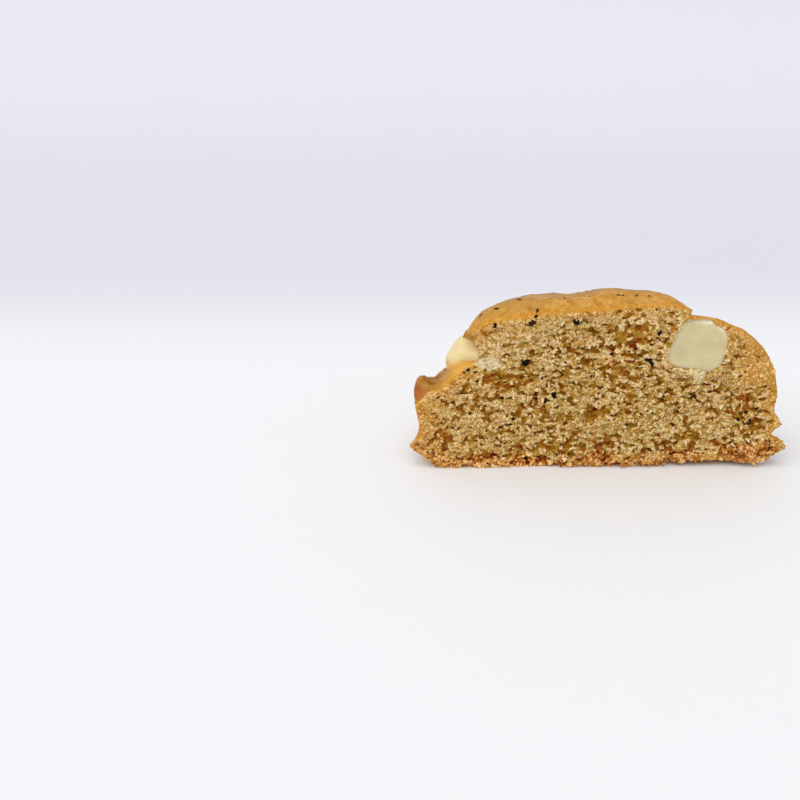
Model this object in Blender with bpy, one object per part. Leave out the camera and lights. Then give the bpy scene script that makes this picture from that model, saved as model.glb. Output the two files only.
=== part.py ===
"""Half of a round tea scone with white chocolate chunks, standing on its base with the cut face to the front.

The sizes are in millimetres and turned into metres where a mesh is made. x runs along the cut face, y runs
back from the cut and z runs up from the plate. At the end everything moves so that the origin is under the
middle of the whole.
"""

import math
import random

import bmesh
import bpy
from mathutils import Vector, noise

MM = 0.001

# The half loaf
DEPTH = 39.0            # from the cut face to the back of the crust
WAIST = 12.0            # height at which the side wall stands furthest out
PLAN_POWER = 2.05       # roundness of the half circle seen from above
DOME_POWER = 2.0        # fall of the dome towards the back
UNDER_POWER = 7.0       # how square the base stays towards the back
SHOULDER = 5.0          # distance behind the cut over which the knife pressed the crust in
FEATURE_REACH = 17.0    # distance behind the cut over which the cap's step and the torn edge fade out

# Outline just behind the cut, clockwise from where the base leaves the plate on the left: x, z, how far the
# knife pressed the crust in, the offset from the plain dome that fades out behind the cut, and whether the
# outline has a corner there.
OUTLINE = (
    (-33.0, -0.6, 0.0, 0.0, 0.0, True),     # the base leaves the plate
    (-41.7, 5.0, 0.2, -2.9, 0.4, True),     # edge of the torn skirt
    (-39.3, 7.6, 0.4, 0.4, 0.0, False),
    (-39.8, 13.0, 0.5, 0.0, 0.0, False),    # left wall
    (-40.9, 17.8, 1.0, -1.8, 1.2, False),   # lip of folded crust
    (-39.3, 21.4, 2.0, -1.2, 2.1, False),
    (-36.8, 18.9, 1.6, 0.2, -0.4, False),   # dip behind the lip
    (-33.0, 21.3, 0.9, 1.0, 0.2, False),    # foot of the side chunk
    (-30.4, 25.2, 1.5, 0.8, 0.8, False),
    (-29.0, 30.2, 1.2, 0.3, 1.0, True),    # left end of the cap
    (-25.4, 34.6, 2.2, -0.2, 1.0, False),
    (-18.0, 37.4, 2.6, 0.0, 0.4, False),
    (-11.0, 38.2, 2.9, 0.0, 0.0, False),
    (-4.6, 38.2, 3.0, 0.0, 0.0, False),     # dip in the cap
    (2.6, 39.4, 3.2, 0.0, 0.0, False),      # top of the cap
    (8.6, 39.0, 2.2, 0.0, 0.2, False),
    (14.6, 39.0, 1.8, 0.4, 0.6, False),
    (19.3, 37.1, 0.3, 0.6, 0.6, True),      # overhanging lip of the cap
    (17.9, 35.2, 0.0, -1.2, 0.6, True),     # foot of the lip
    (24.6, 34.3, 0.3, -0.4, 1.6, False),
    (31.6, 31.4, 0.9, 0.0, 1.8, False),     # right shoulder
    (37.2, 25.6, 1.0, 0.0, 1.0, False),
    (39.7, 18.0, 0.6, 0.0, 0.0, False),     # right wall
    (39.5, 13.3, 0.3, 0.0, 0.0, False),
    (41.4, 10.4, 0.2, 1.4, 0.0, False),     # crumb bulging from the wall
    (39.0, 8.0, 0.2, -1.0, 0.0, False),
    (42.8, 5.4, 0.2, 2.2, 0.6, False),      # torn foot on the right
    (37.8, 1.6, 0.0, 0.4, 0.6, False),
    (29.0, 2.0, 0.0, 0.0, 2.5, False),      # hollow where the base lifts off the plate
    (15.2, 0.9, 0.0, 0.0, 1.4, False),
    (6.0, -0.6, 0.0, 0.0, 0.0, True),       # the base rests on the plate again
)
SPAN_STEPS = 4          # points between two knots of the outline
SHOULDER_STEPS = 5
DOME_STEPS = 18

# Relief, as height and wavelength
SWELL = (1.1, 15.0)           # slow unevenness of the crust
SWELL_START = 9.0             # distance behind the cut over which the swelling sets in
DIMPLE = (0.16, 4.5)          # small dimples in the crust
CRUMB_COARSE = (0.50, 2.8)    # torn crumb of the cut face
CRUMB_FINE = (0.30, 1.5)
PIT_COUNT = 70                # open bubbles in the cut face
PIT_RADIUS = (0.8, 1.7)
PIT_DEPTH = (0.5, 1.2)
CUT_SKIN = 1.2                # depth over which the crumb relief fades into the crust
VOXEL = 0.8
BODY_TRIANGLES = 9000

# White chocolate chunks
GAP = 0.3               # air kept between a chunk and the crumb round it
CUT_CHUNK_PROUD = 0.15  # how far the sliced chunk stands out of the cut plane
CUT_CHUNK_DEPTH = 7.0
CUT_CHUNK_CENTRE = (20.6, 28.5)
CUT_CHUNK_OUTLINE = (   # corners of the sliced face, as x and z from its centre
    (-3.6, 5.0), (-0.8, 5.4), (2.6, 4.6), (5.6, 2.6), (6.2, -0.6), (5.6, -3.9),
    (3.4, -5.8), (-1.4, -5.4), (-5.2, -4.6), (-6.8, -2.5), (-5.8, 0.8),
)
CUT_CHUNK_RINGS = ((0.0, 1.0), (0.35, 0.98), (0.75, 0.86), (1.0, 0.6))  # share of the depth, and size there
CUT_CHUNK_LEAN = 0.3    # how far the chunk leans down for each millimetre behind the cut
SIDE_CHUNK_CENTRE = (-27.3, 6.4, 23.6)
SIDE_CHUNK_RADII = (5.8, 5.2, 5.5)
SIDE_CHUNK_SQUARE = 2.15  # how boxy the chunk is: 2 is an ellipsoid
SIDE_NOTCH_CENTRE = (-31.8, 0.8, 27.6)
SIDE_NOTCH_RADII = (4.5, 3.4, 3.3)
CHUNK_WARP = (0.35, 5.0)

# Looks
CRUMB_BROWN = (0.62, 0.38, 0.14, 1.0)
WHITE_CHOCOLATE = (0.82, 0.70, 0.44, 1.0)


def clear_scene():
    """Removes what the scene holds, so that the script can run again."""
    for obj in list(bpy.data.objects):
        bpy.data.objects.remove(obj)


def material(name, colour, roughness):
    """A plain Principled material."""
    made = bpy.data.materials.new(name)
    made.use_nodes = True
    made.diffuse_color = colour
    shader = made.node_tree.nodes["Principled BSDF"]
    shader.inputs["Base Color"].default_value = colour
    shader.inputs["Roughness"].default_value = roughness
    return made


def object_of(name, mesh, look):
    """A new object in the scene that shows a mesh with one material."""
    mesh.materials.clear()
    mesh.materials.append(look)
    obj = bpy.data.objects.new(name, mesh)
    bpy.context.scene.collection.objects.link(obj)
    return obj


def face_outwards(shape):
    """Turns all the faces of a closed bmesh the same way, with the solid behind them."""
    bmesh.ops.recalc_face_normals(shape, faces=shape.faces)
    if shape.calc_volume(signed=True) < 0.0:
        bmesh.ops.reverse_faces(shape, faces=shape.faces)


def mesh_of(shape, name):
    """Turns a bmesh in millimetres into a mesh in metres."""
    face_outwards(shape)
    bmesh.ops.scale(shape, vec=(MM, MM, MM), verts=shape.verts)
    mesh = bpy.data.meshes.new(name)
    shape.to_mesh(mesh)
    shape.free()
    return mesh


def applied(obj):
    """Replaces an object's mesh by what its modifiers make of it."""
    bpy.context.view_layer.update()
    graph = bpy.context.evaluated_depsgraph_get()
    mesh = bpy.data.meshes.new_from_object(obj.evaluated_get(graph))
    obj.modifiers.clear()
    obj.data = mesh
    return obj


def spline(points, corners, steps):
    """Samples a closed smooth curve through points of any size, with no rounding at the corners."""
    count = len(points)
    chord = [(points[(i + 1) % count].xy - points[i].xy).length for i in range(count)]
    slope = []
    for i in range(count):
        ahead = points[(i + 1) % count]
        behind = points[i - 1]
        slope.append((ahead - behind) / (chord[i] + chord[i - 1]) * (0.0 if corners[i] else 1.0))
    samples = []
    for i in range(count):
        j = (i + 1) % count
        for k in range(steps):
            t = k / steps
            samples.append(
                points[i] * (2 * t**3 - 3 * t**2 + 1)
                + slope[i] * chord[i] * (t**3 - 2 * t**2 + t)
                + points[j] * (3 * t**2 - 2 * t**3)
                + slope[j] * chord[i] * (t**3 - t**2)
            )
    return samples


def fade(distance, reach):
    """1 at no distance, falling smoothly to 0 at reach."""
    return max(0.0, 1.0 - distance / reach) ** 2


def falling(share, power):
    """Height of a superellipse at a share of its half width."""
    return max(0.0, 1.0 - share**power) ** (1.0 / power)


def section(y):
    """The closed outline of the scone at a distance behind the cut, as (x, z) points."""
    feature = fade(y, FEATURE_REACH)
    places = []
    for x, z, pressed, off_x, off_z, _ in OUTLINE:
        knot = Vector((x - off_x * (1 - feature), z - off_z * (1 - feature)))
        inward = (Vector((0.0, WAIST)) - knot).normalized()
        knot += inward * pressed * fade(y, SHOULDER)
        places.append(knot)
    corners = [knot[-1] for knot in OUTLINE]
    share = y / DEPTH
    narrow = falling(share, PLAN_POWER)
    outline = []
    for point in spline(places, corners, SPAN_STEPS):
        low = point.y < WAIST
        squash = falling(share, UNDER_POWER if low else DOME_POWER)
        outline.append((point.x * narrow, WAIST + (point.y - WAIST) * squash))
    return outline


def depths():
    """The distances behind the cut at which the loaf is sectioned, closer together at both ends."""
    found = [SHOULDER * k / SHOULDER_STEPS for k in range(SHOULDER_STEPS)]
    start = math.asin(SHOULDER / DEPTH)
    for k in range(DOME_STEPS):
        found.append(DEPTH * math.sin(start + (math.pi / 2 - start) * k / DOME_STEPS))
    return found


def loaf():
    """The plain solid: sections joined into a skin, closed by the cut face and by a point at the back."""
    shape = bmesh.new()
    rings = []
    for y in depths():
        rings.append([shape.verts.new((x, y, z)) for x, z in section(y)])
    for front, back in zip(rings, rings[1:]):
        for i in range(len(front)):
            j = (i + 1) % len(front)
            shape.faces.new((front[i], front[j], back[j], back[i]))
    pole = shape.verts.new((0.0, DEPTH, WAIST))
    last = rings[-1]
    for i in range(len(last)):
        shape.faces.new((last[i], last[(i + 1) % len(last)], pole))
    cut = shape.faces.new(rings[0])
    bmesh.ops.triangulate(shape, faces=[cut])
    return mesh_of(shape, "loaf")


def wave(place, size, seed):
    """Smooth noise of a given height and wavelength."""
    height, length = size
    shift = Vector((seed * 17.3, seed * 5.1, seed * 11.9))
    return height * noise.noise(place / length + shift)


def pits():
    """Open bubbles of the cut face, as x, z, radius and depth, spread by a seeded draw."""
    draw = random.Random(11)
    found = []
    while len(found) < PIT_COUNT:
        x = draw.uniform(-37.0, 37.0)
        z = draw.uniform(3.0, 34.0)
        if (x / 40.0) ** 2 + (z / 37.0) ** 2 > 0.86:
            continue
        found.append((x, z, draw.uniform(*PIT_RADIUS), draw.uniform(*PIT_DEPTH)))
    return found


def add_relief(mesh):
    """Moves the skin in and out: slow swelling and dimples in the crust, torn crumb and bubbles in the cut."""
    bubbles = pits()
    for vertex in mesh.vertices:
        place = vertex.co / MM
        normal = vertex.normal.copy()
        cut = fade(max(0.0, place.y), CUT_SKIN * 2) if normal.y < -0.5 else 0.0
        swell = wave(place, SWELL, 1) * (1 - fade(max(0.0, place.y), SWELL_START))
        crust = wave(place, DIMPLE, 2)
        crumb = wave(place, CRUMB_COARSE, 3) + wave(place, CRUMB_FINE, 4)
        for x, z, radius, depth in bubbles:
            near = 1.0 - ((place.x - x) ** 2 + (place.z - z) ** 2) / radius**2
            if near > 0.0:
                crumb -= depth * near
        skin = swell + crust
        vertex.co += normal * skin * (1 - cut) * MM
        vertex.co.y -= crumb * cut * MM


def cut_flat_base(mesh):
    """Slices off what reaches below the plate, which leaves the flat spot that the scone rests on."""
    shape = bmesh.new()
    shape.from_mesh(mesh)
    everything = shape.verts[:] + shape.edges[:] + shape.faces[:]
    bmesh.ops.bisect_plane(shape, geom=everything, plane_co=(0, 0, 0), plane_no=(0, 0, 1), clear_inner=True)
    rim = [edge for edge in shape.edges if edge.is_boundary]
    bmesh.ops.edgenet_fill(shape, edges=rim)
    face_outwards(shape)
    shape.to_mesh(mesh)
    shape.free()


def sliced_chunk(name, grow=0.0):
    """The chunk that the knife went through: its outline run back from the cut in tapering rings."""
    shape = bmesh.new()
    centre_x, centre_z = CUT_CHUNK_CENTRE
    rings = []
    for share, size in CUT_CHUNK_RINGS:
        y = -CUT_CHUNK_PROUD - grow + (CUT_CHUNK_DEPTH + 2 * grow) * share
        lean = CUT_CHUNK_LEAN * max(0.0, y)
        ring = []
        for x, z in CUT_CHUNK_OUTLINE:
            spoke = Vector((x, z)) * size
            spoke *= 1 + grow / spoke.length
            ring.append(shape.verts.new((centre_x + spoke.x, y, centre_z + spoke.y - lean)))
        rings.append(ring)
    for front, back in zip(rings, rings[1:]):
        for i in range(len(front)):
            j = (i + 1) % len(front)
            shape.faces.new((front[i], front[j], back[j], back[i]))
    shape.faces.new(rings[0])
    shape.faces.new(rings[-1])
    return mesh_of(shape, name)


def boxy(centre, radii, power, subdivisions, name):
    """A rounded block: an icosphere pushed out towards the corners of a box."""
    shape = bmesh.new()
    bmesh.ops.create_icosphere(shape, subdivisions=subdivisions, radius=1.0)
    for vertex in shape.verts:
        way = vertex.co.normalized()
        size = sum(abs(part) ** power for part in way) ** (-1.0 / power)
        place = Vector(way[i] * size * radii[i] for i in range(3)) + Vector(centre)
        place += way * wave(place, CHUNK_WARP, 7)
        vertex.co = place
    return mesh_of(shape, name)


def side_chunk(name, grow=0.0):
    """The whole chunk that bulges out of the left shoulder."""
    radii = [radius + grow for radius in SIDE_CHUNK_RADII]
    return boxy(SIDE_CHUNK_CENTRE, radii, SIDE_CHUNK_SQUARE, 3, name)


def cutter(mesh):
    """Hides an object that only cuts another."""
    obj = bpy.data.objects.new(mesh.name, mesh)
    bpy.context.scene.collection.objects.link(obj)
    obj.hide_render = True
    obj.display_type = "WIRE"
    return obj


def carve(obj, *meshes):
    """Cuts each closed mesh out of an object and removes the cutters."""
    for mesh in meshes:
        tool = cutter(mesh)
        cut = obj.modifiers.new("cut", "BOOLEAN")
        cut.operation = "DIFFERENCE"
        cut.object = tool
        applied(obj)
        bpy.data.objects.remove(tool)


def keep_largest(mesh):
    """Drops loose scraps that a cut left, keeping the piece with the most faces."""
    shape = bmesh.new()
    shape.from_mesh(mesh)
    unseen = set(shape.verts)
    islands = []
    while unseen:
        island = set()
        edge_of_island = [unseen.pop()]
        while edge_of_island:
            vertex = edge_of_island.pop()
            island.add(vertex)
            for edge in vertex.link_edges:
                other = edge.other_vert(vertex)
                if other in unseen:
                    unseen.discard(other)
                    edge_of_island.append(other)
        islands.append(island)
    islands.sort(key=len)
    for island in islands[:-1]:
        bmesh.ops.delete(shape, geom=list(island), context="VERTS")
    shape.to_mesh(mesh)
    shape.free()


def remeshed(obj):
    """Covers an object with small even faces, which also heals places where its skin crosses itself."""
    even = obj.modifiers.new("even faces", "REMESH")
    even.mode = "VOXEL"
    even.voxel_size = VOXEL * MM
    return applied(obj)


def scone_body():
    """The baked dough: crust outside, torn crumb on the cut face, and a pocket for each chunk."""
    obj = remeshed(object_of("scone_body", loaf(), material("baked_dough", CRUMB_BROWN, 0.8)))
    add_relief(obj.data)
    remeshed(obj)
    fewer = obj.modifiers.new("fewer faces", "DECIMATE")
    fewer.ratio = BODY_TRIANGLES / (2 * len(obj.data.polygons))
    applied(obj)
    notch = boxy(SIDE_NOTCH_CENTRE, SIDE_NOTCH_RADII, 2.0, 2, "side_notch")
    carve(obj, sliced_chunk("sliced_pocket", GAP), side_chunk("side_pocket", GAP), notch)
    cut_flat_base(obj.data)
    keep_largest(obj.data)
    return obj


def chunks():
    """The two pieces of white chocolate."""
    look = material("white_chocolate", WHITE_CHOCOLATE, 0.45)
    sliced = object_of("chocolate_sliced", sliced_chunk("sliced_chunk"), look)
    side = object_of("chocolate_side", side_chunk("side_chunk"), look)
    return [sliced, side]


def centre_on_origin(objects):
    """Moves the whole so that the origin is under the middle of its box."""
    corners = [vertex.co for obj in objects for vertex in obj.data.vertices]
    low = [min(corner[i] for corner in corners) for i in range(3)]
    high = [max(corner[i] for corner in corners) for i in range(3)]
    shift = Vector((-(low[0] + high[0]) / 2, -(low[1] + high[1]) / 2, -low[2]))
    for obj in objects:
        for vertex in obj.data.vertices:
            vertex.co += shift


def main():
    clear_scene()
    centre_on_origin([scone_body(), *chunks()])


main()
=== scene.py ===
"""The look of half a round tea scone with white chocolate chunks, on its base with the cut face to the front.

Shapes are worked out in design millimetres: x along the cut face, y back from the cut and z up from the
plate. They are turned into metres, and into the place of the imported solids, where a mesh is made.
"""

import math

import bpy
import numpy as np
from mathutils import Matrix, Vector


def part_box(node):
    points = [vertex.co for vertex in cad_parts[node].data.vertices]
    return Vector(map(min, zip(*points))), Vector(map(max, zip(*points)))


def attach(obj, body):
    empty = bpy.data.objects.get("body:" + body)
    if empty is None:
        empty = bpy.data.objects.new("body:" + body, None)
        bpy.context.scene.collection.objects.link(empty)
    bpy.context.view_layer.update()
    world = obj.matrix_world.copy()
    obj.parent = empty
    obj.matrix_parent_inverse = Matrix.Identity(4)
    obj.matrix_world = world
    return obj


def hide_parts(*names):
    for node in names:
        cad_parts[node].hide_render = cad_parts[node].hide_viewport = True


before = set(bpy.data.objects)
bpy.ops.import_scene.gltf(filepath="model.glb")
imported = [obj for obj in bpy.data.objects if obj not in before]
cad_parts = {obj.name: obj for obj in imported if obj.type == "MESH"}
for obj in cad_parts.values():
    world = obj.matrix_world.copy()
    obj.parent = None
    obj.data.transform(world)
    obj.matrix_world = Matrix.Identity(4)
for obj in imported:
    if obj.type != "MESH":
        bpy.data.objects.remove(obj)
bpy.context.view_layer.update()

MM = 0.001

# The half loaf, as in the solids
DEPTH = 39.0  # from the cut face to the back of the crust
WAIST = 12.0  # height at which the side wall stands furthest out
HALF_WIDTH = 41.0
TOP = 39.0
PLAN_POWER = 2.05  # roundness of the half circle seen from above
DOME_POWER = 2.0  # fall of the dome towards the back
UNDER_POWER = 7.0  # how square the base stays towards the back
SHOULDER = 5.0  # distance behind the cut over which the knife pressed the crust in
FEATURE_REACH = 17.0  # distance behind the cut over which the cap's step and the torn edge fade out

# Outline just behind the cut, clockwise from where the base leaves the plate on the left: x, z, how far the
# knife pressed the crust in, the offset from the plain dome that fades out behind the cut, and whether the
# outline has a corner there.
OUTLINE = (
    (-33.0, -0.6, 0.0, 0.0, 0.0, True),  # the base leaves the plate
    (-41.7, 5.0, 0.2, -2.9, 0.4, True),  # edge of the torn skirt
    (-39.3, 7.6, 0.4, 0.4, 0.0, False),
    (-39.8, 13.0, 0.2, 0.0, 0.0, False),  # left wall
    (-40.9, 17.8, 1.0, -1.8, 1.2, False),  # lip of folded crust
    (-39.3, 21.4, 2.0, -1.2, 2.1, False),
    (-36.8, 18.9, 1.6, 0.2, -0.4, False),  # dip behind the lip
    (-33.0, 21.3, 0.9, 1.0, 0.2, False),  # foot of the side chunk
    (-30.4, 25.2, 1.5, 0.8, 0.8, False),
    (-29.9, 31.4, 0.5, -1.5, 2.2, True),  # left end of the cap
    (-25.9, 35.3, 2.3, -0.2, 1.0, False),
    (-18.2, 37.9, 3.5, 0.0, 0.4, False),
    (-11.0, 38.2, 2.3, 0.0, 0.0, False),
    (-4.6, 38.2, 1.9, 0.0, 0.0, False),  # dip in the cap
    (2.6, 39.4, 2.8, 0.0, 0.0, False),  # top of the cap
    (8.6, 39.0, 2.2, 0.0, 0.2, False),
    (14.6, 39.0, 1.8, 0.4, 0.6, False),
    (18.5, 36.7, 0.3, 0.6, 0.6, False),  # overhanging lip of the cap
    (17.9, 35.2, 0.0, -1.2, 0.6, True),  # foot of the lip
    (24.6, 34.3, 0.3, -0.4, 1.6, False),
    (31.6, 31.4, 0.9, 0.0, 1.8, False),  # right shoulder
    (37.2, 25.6, 1.0, 0.0, 1.0, False),
    (39.7, 18.0, 0.6, 0.0, 0.0, False),  # right wall
    (39.5, 13.3, 0.3, 0.0, 0.0, False),
    (41.4, 10.4, 0.2, 1.4, 0.0, False),  # crumb bulging from the wall
    (39.0, 8.0, 0.2, -1.0, 0.0, False),
    (42.8, 5.4, 0.2, 2.2, 0.6, False),  # torn foot on the right
    (37.8, 1.6, 0.0, 0.4, 0.6, False),
    (29.0, 2.0, 0.0, 0.0, 2.5, False),  # hollow where the base lifts off the plate
    (15.2, 0.9, 0.0, 0.0, 1.4, False),
    (6.0, -0.6, 0.0, 0.0, 0.0, True),  # the base rests on the plate again
)
SPAN_STEPS = 6  # points between two knots of the outline

# Here and below, a noise is given as its height, its lattice spacing along x, y and z, and its seed.

# White chocolate chunks, as in the solids
CUT_CHUNK_PROUD = 0.15
CUT_CHUNK_DEPTH = 7.0
CUT_CHUNK_CENTRE = (20.6, 28.5)
CUT_CHUNK_OUTLINE = (
    (-3.6, 5.5), (-0.8, 6.0), (2.6, 5.3), (5.6, 3.0), (6.2, -0.6), (5.6, -3.9),
    (3.4, -5.8), (-1.4, -5.4), (-5.2, -4.6), (-6.8, -2.5), (-5.8, 0.8),
)
CUT_CHUNK_LEAN = 0.3  # how far it leans down, per millimetre back
CUT_CHUNK_TAPER = 0.35  # how much narrower its sides get, per millimetre back from half its depth
CUT_CHUNK_STEPS = 8  # points between two corners of its outline
CHIP_SLOPE = 0.6  # its upper right is chipped and free of crumb, where z + CHIP_SLOPE * x is above
CHIPPED = (42.0, 46.0)  # the first of these, and fully so above the second
CHIP_HOLLOW = (1.8, 0.4)  # how far the chip's sides fall in behind the face, and stand out at the face
WORN_EDGE = (0.10, 0.40)  # how far back the rubbed edge of the face is: all round, and more at the chip
CHUNK_WOBBLE = (1.0, (0.8, 1.3, 0.8), 71)
KNIFE_MARKS = ((0.025, (6.0, 1.0, 0.45), 72), (0.04, (2.6, 9.0, 2.6), 73))
CHIP_GRAIN = (1.0, (0.5, 9.0, 0.5), 74)
SIDE_CHUNK_CENTRE = (-27.3, 6.4, 23.6)
SIDE_CHUNK_RADII = (5.8, 5.2, 5.5)
SIDE_CHUNK_SQUARE = 2.3
SIDE_CHUNK_FACETS = (  # flat sides of it: outward direction and distance from its centre
    ((-0.20, -0.98, 0.0), 4.7), ((-0.80, -0.10, 0.59), 5.1), ((-0.97, -0.25, 0.0), 5.5),
    ((0.0, -0.64, 0.77), 4.9), ((-0.75, 0.60, 0.28), 5.0), ((-0.55, -0.50, -0.67), 5.2),
)
FACET_ROUND = 0.6  # rounding of the edges between them
SIDE_CHUNK_UNEVEN = ((0.16, (2.6, 2.6, 2.6), 75), (0.03, (1.0, 1.0, 1.0), 76))
MELT_WANDER = (0.4, (3.0, 3.0, 3.0), 77)
MELTED = (23.6, 26.0)  # heights between which its golden foot fades out
CHUNK_CELL = 0.22  # width of the cells that both chunks are drawn through

# Left of this line on the cut face, as (x, z) corners, crust and the side chunk show instead of crumb
SIDE_CRUST = (
    (-43.5, 14.6), (-39.6, 14.8), (-37.9, 16.6), (-36.6, 17.8), (-34.6, 18.2), (-33.6, 19.6), (-32.5, 21.0),
    (-31.2, 21.9), (-29.8, 22.9), (-28.2, 24.0), (-26.4, 24.8), (-26.5, 26.3), (-26.3, 28.0), (-27.0, 29.6),
    (-27.5, 30.9), (-28.6, 31.3), (-43.5, 31.2),
)
SIDE_CRUST_SLOPE = (0.5, 0.08)  # how fast the crust falls back from that line, and how much faster further in
SIDE_CLEFT = (24.0, 25.6)  # heights over which the chunk comes to show and the crumb ends in a cliff
CLEFT_DEPTH = 6.0
CLEFT_ROOF = (27.5, 28.3)  # heights over which the crust comes forward again above the chunk
ROOF_FORWARD = 2.0
CLIFF_TOP = (30.4, 31.2)  # heights over which the cliff's edge turns into crust again
CLIFF_RIGHT = -20.0  # no cliff to the right of this
BARE_EDGE = 0.7  # distance inside the line at which no crumb is left
BARE_WANDER = (0.25, (1.5, 1.0, 1.5), 33)

# The slab of torn crumb behind the cut face
CELL = 0.18  # width of the cells that its surface is drawn through
SLAB_X = (-44.0, 45.0)
SLAB_Y = (-1.0, 4.2)
SLAB_Z = (-0.8, 41.0)
SLAB_DIVE = (3.2, 4.1, 0.7)  # where the slab's skin dives under the crust piece, and how deep
SLAB_PARTS = 4  # pieces that the slab is split into, from left to right
STRATA = (0.5, (9.0, 1.0, 6.0), 30)  # waviness of the crumb's layers
TEAR = (0.25, (5.0, 1.0, 3.0), 31)  # slow waviness of the cut face
SPONGE = (  # noises that hollow the crumb
    (0.60, (1.15, 0.95, 0.74), 41),
    (0.58, (0.58, 0.48, 0.40), 42),
    (0.30, (0.31, 0.29, 0.25), 43),
    (0.24, (4.0, 3.0, 2.2), 44),
)
SPONGE_TOP = (2.2, 0.6)  # highest value of their sum, and how much lower that is in calm crumb
HOLLOWS = (-0.9, 1.1)  # sponge noise where a hollow begins and where it is full
HOLLOW_DEPTH = 1.10
HOLLOW_CALM = 1.6  # how much less noise calm crumb counts for its hollows
HOLLOW_SHADE = (-0.40, 0.55)  # sponge noise over which painted shade turns the crumb from creamy to ochre in its hollows
HOLLOW_SHADE_CALM = 1.4
SLOTS = (1.50, 1.00)  # sponge noise where a deep slot opens, and how fast it closes per millimetre
SLOT_CALM = 1.5
CLUMPS = ((0.95, 0.9, 0.74), 61)  # lumps of crumb: spacing and seed
CLUMP_HEIGHT = (0.56, 0.35)  # their height, and the share of it that calm crumb loses
GRAINS = ((0.56, 0.50, 0.46), 62)
GRAIN_HEIGHT = (0.34, 0.30)
PROUD = 0.68  # how far the lumps stand in front of the hollows' rims
COLLAR = (0.3, 1.5)  # distance from the sliced chunk over which its collar of crumb fades out
COLLAR_PROUD = 0.35  # how much prouder the collar is
COLLAR_SMOOTH = 0.35  # and how much less rough
DENSE_RIM = (2.8, 3.6)  # width of the denser crumb under the crust: under the cap and at the sides
RIM_FOOT = (3.0, 7.0)  # heights over which it begins
SIDES = (15.0, 29.0)  # distance from the middle over which it gets as wide as at the sides
SIDES_FOOT = (9.0, 8.0)  # that begins this much higher on the right and lower on the left, over this height
SOLID_SKIN = 0.45  # thickness of the crust itself
TORN_BELOW = (9.0, 16.0)  # heights below which the wall's edge is torn crumb instead of cut crust
TORN_UNEVEN = (0.5, (4.0, 1.0, 2.5), 32)
TORN_EDGE = (0.3, 0.6)  # how far its lumps stand out: everywhere, and more where it is torn
BASE_PITS = (0.75, 1.0, 6.0)  # how much more easily pits open near the base, and between which heights
SURE = 0.02  # least value of the slab's field once its loose specks and bubbles are gone
CUT_ROUND = (0.25, 0.9)  # rounding between wall and cut: of crumb, and how much more of bared crust
LAP = (1.1, 1.2)  # how far crumb laps over the sliced chunk's edge, and how much less where its lumps are
CLEARED = 0.35  # how deep the crumb is cleared away in front of that chunk
SHADE = {  # how much each thing darkens the crumb as painted shade; tone is a random tone, pale a painted light and edge the colour by the crust
    "base": 0.12, "hollow": 0.36, "grain": 0.45, "clump": 0.25, "depth": 0.25, "close": 0.5, "wide": 0.35,
    "tone": 0.12, "pale": -0.08, "edge": 0.25,
}
BLURS = (2, 5)  # cells each way over which crumb is close or in a wide round, for its painted shade

# Oval patches of the cut, each as its centre and its radii
TOASTED = (((35.0, 26.0), (7.5, 9.5)), ((-38.5, 13.0), (5.0, 7.5)))
# dense crumb at the top left and under the cap, which painted light makes paler
PALE_DENSE = (((-20.5, 32.0), (14.5, 7.0)), ((8.5, 35.2), (11.0, 2.6)))
DENSE = TOASTED + PALE_DENSE
DENSE_CALM = 0.95
TOAST_DEPTH = (1.1, 2.4)  # how deep the toasted colour goes under the crust, and how much deeper at the sides
TOAST_PATCH = 0.8  # how toasted the patches are
TORN_WALL = (((-40.0, 11.5), (5.0, 7.0)),)  # where the torn wall reaches higher
FLAP = (((-37.0, 2.2), (6.5, 4.0)),)  # where the crust's own edge shows as a smooth band
BAND = (0.7, 1.5)  # depth under the crust over which that band ends
BAND_SMOOTH = 0.45  # how much less rough it is
BROWN_FOOT = (((37.0, 4.0), (7.0, 4.0)),)  # where the browned base reaches higher
SMEARS = (((-24.2, 24.4), (2.9, 1.6)), ((21.2, 22.0), (1.3, 1.7)))  # melted chocolate
SOFT, EVEN, FIRM = 0.3, 0.5, 0.6  # share of a patch's radii up to which it is full
PATCH_END = 1.25  # and where it has faded out

# The crust behind it
BODY_VOXEL = 0.46  # width of its even quads
BODY_FRONT = 2.6  # behind the cut, where the crust piece ends under the slab
DUCK = (2.3, 3.3)  # and where it comes out from under the slab's skin
DUCK_DEPTH = 0.35
SHOULDER_RINGS = 8  # sections drawn over the shoulder and over the dome behind it
DOME_RINGS = 40
CRUST_SWELL = (0.35, (7.5, 7.5, 7.5), 21)  # slow unevenness
CRUST_DIMPLE = (0.09, (1.7, 1.7, 1.7), 22)
CRUST_GRAIN = (0.022, (0.55, 0.55, 0.55), 23)
SWELL_START = 9.0  # distance behind the cut at which the swell is full
RELIEF_FOOT = (0.5, 3.0)  # heights over which the relief begins
DENT_DEPTH = 2.2  # sunken crust behind the lip
DENT = ((-35.5, 15.0, 19.5), (9.0, 14.0, 8.0))  # its centre and radii
LIP = ((-40.6, 1.2, 19.0), (3.6, 5.0, 5.2))  # fold of crust on the left, with a painted shadow in dark brown
STAIN = ((-30.0, 1.6, 23.2), (4.4, 4.0, 2.8))  # crust soaked golden below the side chunk
BAKE_WANDER = (1.0, (5.0, 5.0, 5.0), 24)
BAKE_BLOTCH = (1.0, (1.6, 1.6, 1.6), 25)
GOLD_REACH = (2.5, 7.5, 1.5)  # how far behind the cut the painted shading in gold begins to fade and ends, and how far that wanders
GOLD_RISE = (17.0, 26.0)  # heights over which it begins
GOLD_SHARE = (0.75, 0.35)  # how strong it is, and how much that wanders
LIP_SHADOW = 0.85
LIP_FADE = (0.35, 1.2)  # share of the lip's radii over which its painted shadow fades
BROWN_SPOTS = (1.5, 2.4)  # noise over which a brown spot begins
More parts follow.
